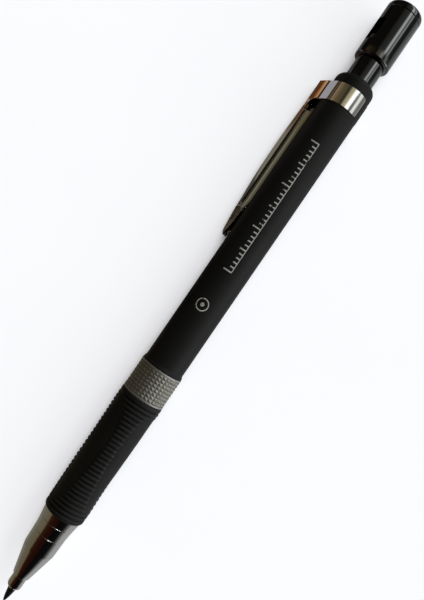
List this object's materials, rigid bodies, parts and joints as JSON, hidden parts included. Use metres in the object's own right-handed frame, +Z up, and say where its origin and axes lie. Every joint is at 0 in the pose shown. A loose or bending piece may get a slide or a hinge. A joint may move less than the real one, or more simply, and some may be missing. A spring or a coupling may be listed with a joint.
{
  "type": "mechanical pencil",
  "caption": "Clutch pencil for thick drawing leads, with a push cap that opens the jaws, a grooved soft grip, a knurled ring, a pocket clip and a sharpener in the cap.",
  "frame": {"origin": "on the pencil's axis, halfway along its length, in the middle of the barrel's free shank", "axes": "+X along the axis towards the writing point, +Z up from the table that the pencil lies on, clip down to the -Y side"},
  "size_m": [0.143, 0.0114, 0.0095],
  "materials": {
    "graphite": "dark graphite with a faint metallic sheen",
    "clutch_plating": "bright nickel plate on brass",
    "brass": "turned, bright",
    "spring_steel": "drawn wire",
    "nose_chrome": "mirror chrome with fine turned lines",
    "grip_rubber": "matte, fine grained",
    "ring_aluminium": "satin grey with fine knurling",
    "barrel_plastic": "matte soft-touch black",
    "clip_chrome": "mirror chrome on folded sheet",
    "gloss_plastic": "gloss black",
    "sharpener_plastic": "plain black moulding",
    "blade_steel": "ground blade steel"
  },
  "bodies": {
    "barrel": {"barrel": "barrel_plastic", "clip_band": "clip_chrome", "knurled_ring": "ring_aluminium", "grip_core": "brass", "grip_sleeve": "grip_rubber", "nose_cone": "nose_chrome", "spring_washer": "spring_steel", "return_spring": "spring_steel"},
    "pusher": {"push_stem": "gloss_plastic", "lead_tube": "brass", "collet_body": "brass", "spring_collar": "brass"},
    "cap": {"push_cap": "gloss_plastic", "cap_crown": "gloss_plastic", "sharpener_body": "sharpener_plastic", "sharpener_blade": "blade_steel"},
    "lead": {"lead": "graphite"},
    "jaw_1": {"jaw_1": "clutch_plating"},
    "jaw_2": {"jaw_2": "clutch_plating"},
    "jaw_3": {"jaw_3": "clutch_plating"},
    "clip": {"clip_arm": "clip_chrome"}
  },
  "joints": [
    {"name": "push", "type": "slide", "parent": "barrel", "child": "pusher", "axis": [1, 0, 0], "range_m": [0, 0.003], "stiffness_N_per_m": 500, "springref_m": -0.004, "deforming": ["return_spring"]},
    {"name": "cap_pull", "type": "slide", "parent": "pusher", "child": "cap", "axis": [-1, 0, 0], "range_m": [0, 0.006]},
    {"name": "lead_feed", "type": "slide", "parent": "pusher", "child": "lead", "axis": [1, 0, 0], "range_m": [-0.0064, 0.02]},
    {"name": "jaw_1_open", "type": "hinge", "parent": "pusher", "child": "jaw_1", "pos_m": [0.0475, 0.00116, 0.00059], "axis": [0, -0.454, 0.891], "range_deg": [0, 0.8]},
    {"name": "jaw_2_open", "type": "hinge", "parent": "pusher", "child": "jaw_2", "pos_m": [0.0475, -0.00007, -0.0013], "axis": [0, 0.9986, -0.0523], "range_deg": [0, 0.8]},
    {"name": "jaw_3_open", "type": "hinge", "parent": "pusher", "child": "jaw_3", "pos_m": [0.0475, -0.00109, 0.00071], "axis": [0, -0.5446, -0.8387], "range_deg": [0, 0.8]},
    {"name": "clip_flex", "type": "hinge", "parent": "barrel", "child": "clip", "pos_m": [-0.04695, -0.00589, -0.0034], "axis": [0, 0.5, -0.866], "range_deg": [0, 3], "stiffness_Nm_per_rad": 1, "springref_deg": -1.72}
  ],
  "couplings": [
    {"joint": "jaw_1_open", "follows": "push", "rad_per_m": 4.2},
    {"joint": "jaw_2_open", "follows": "push", "rad_per_m": 4.2},
    {"joint": "jaw_3_open", "follows": "push", "rad_per_m": 4.2}
  ]
}
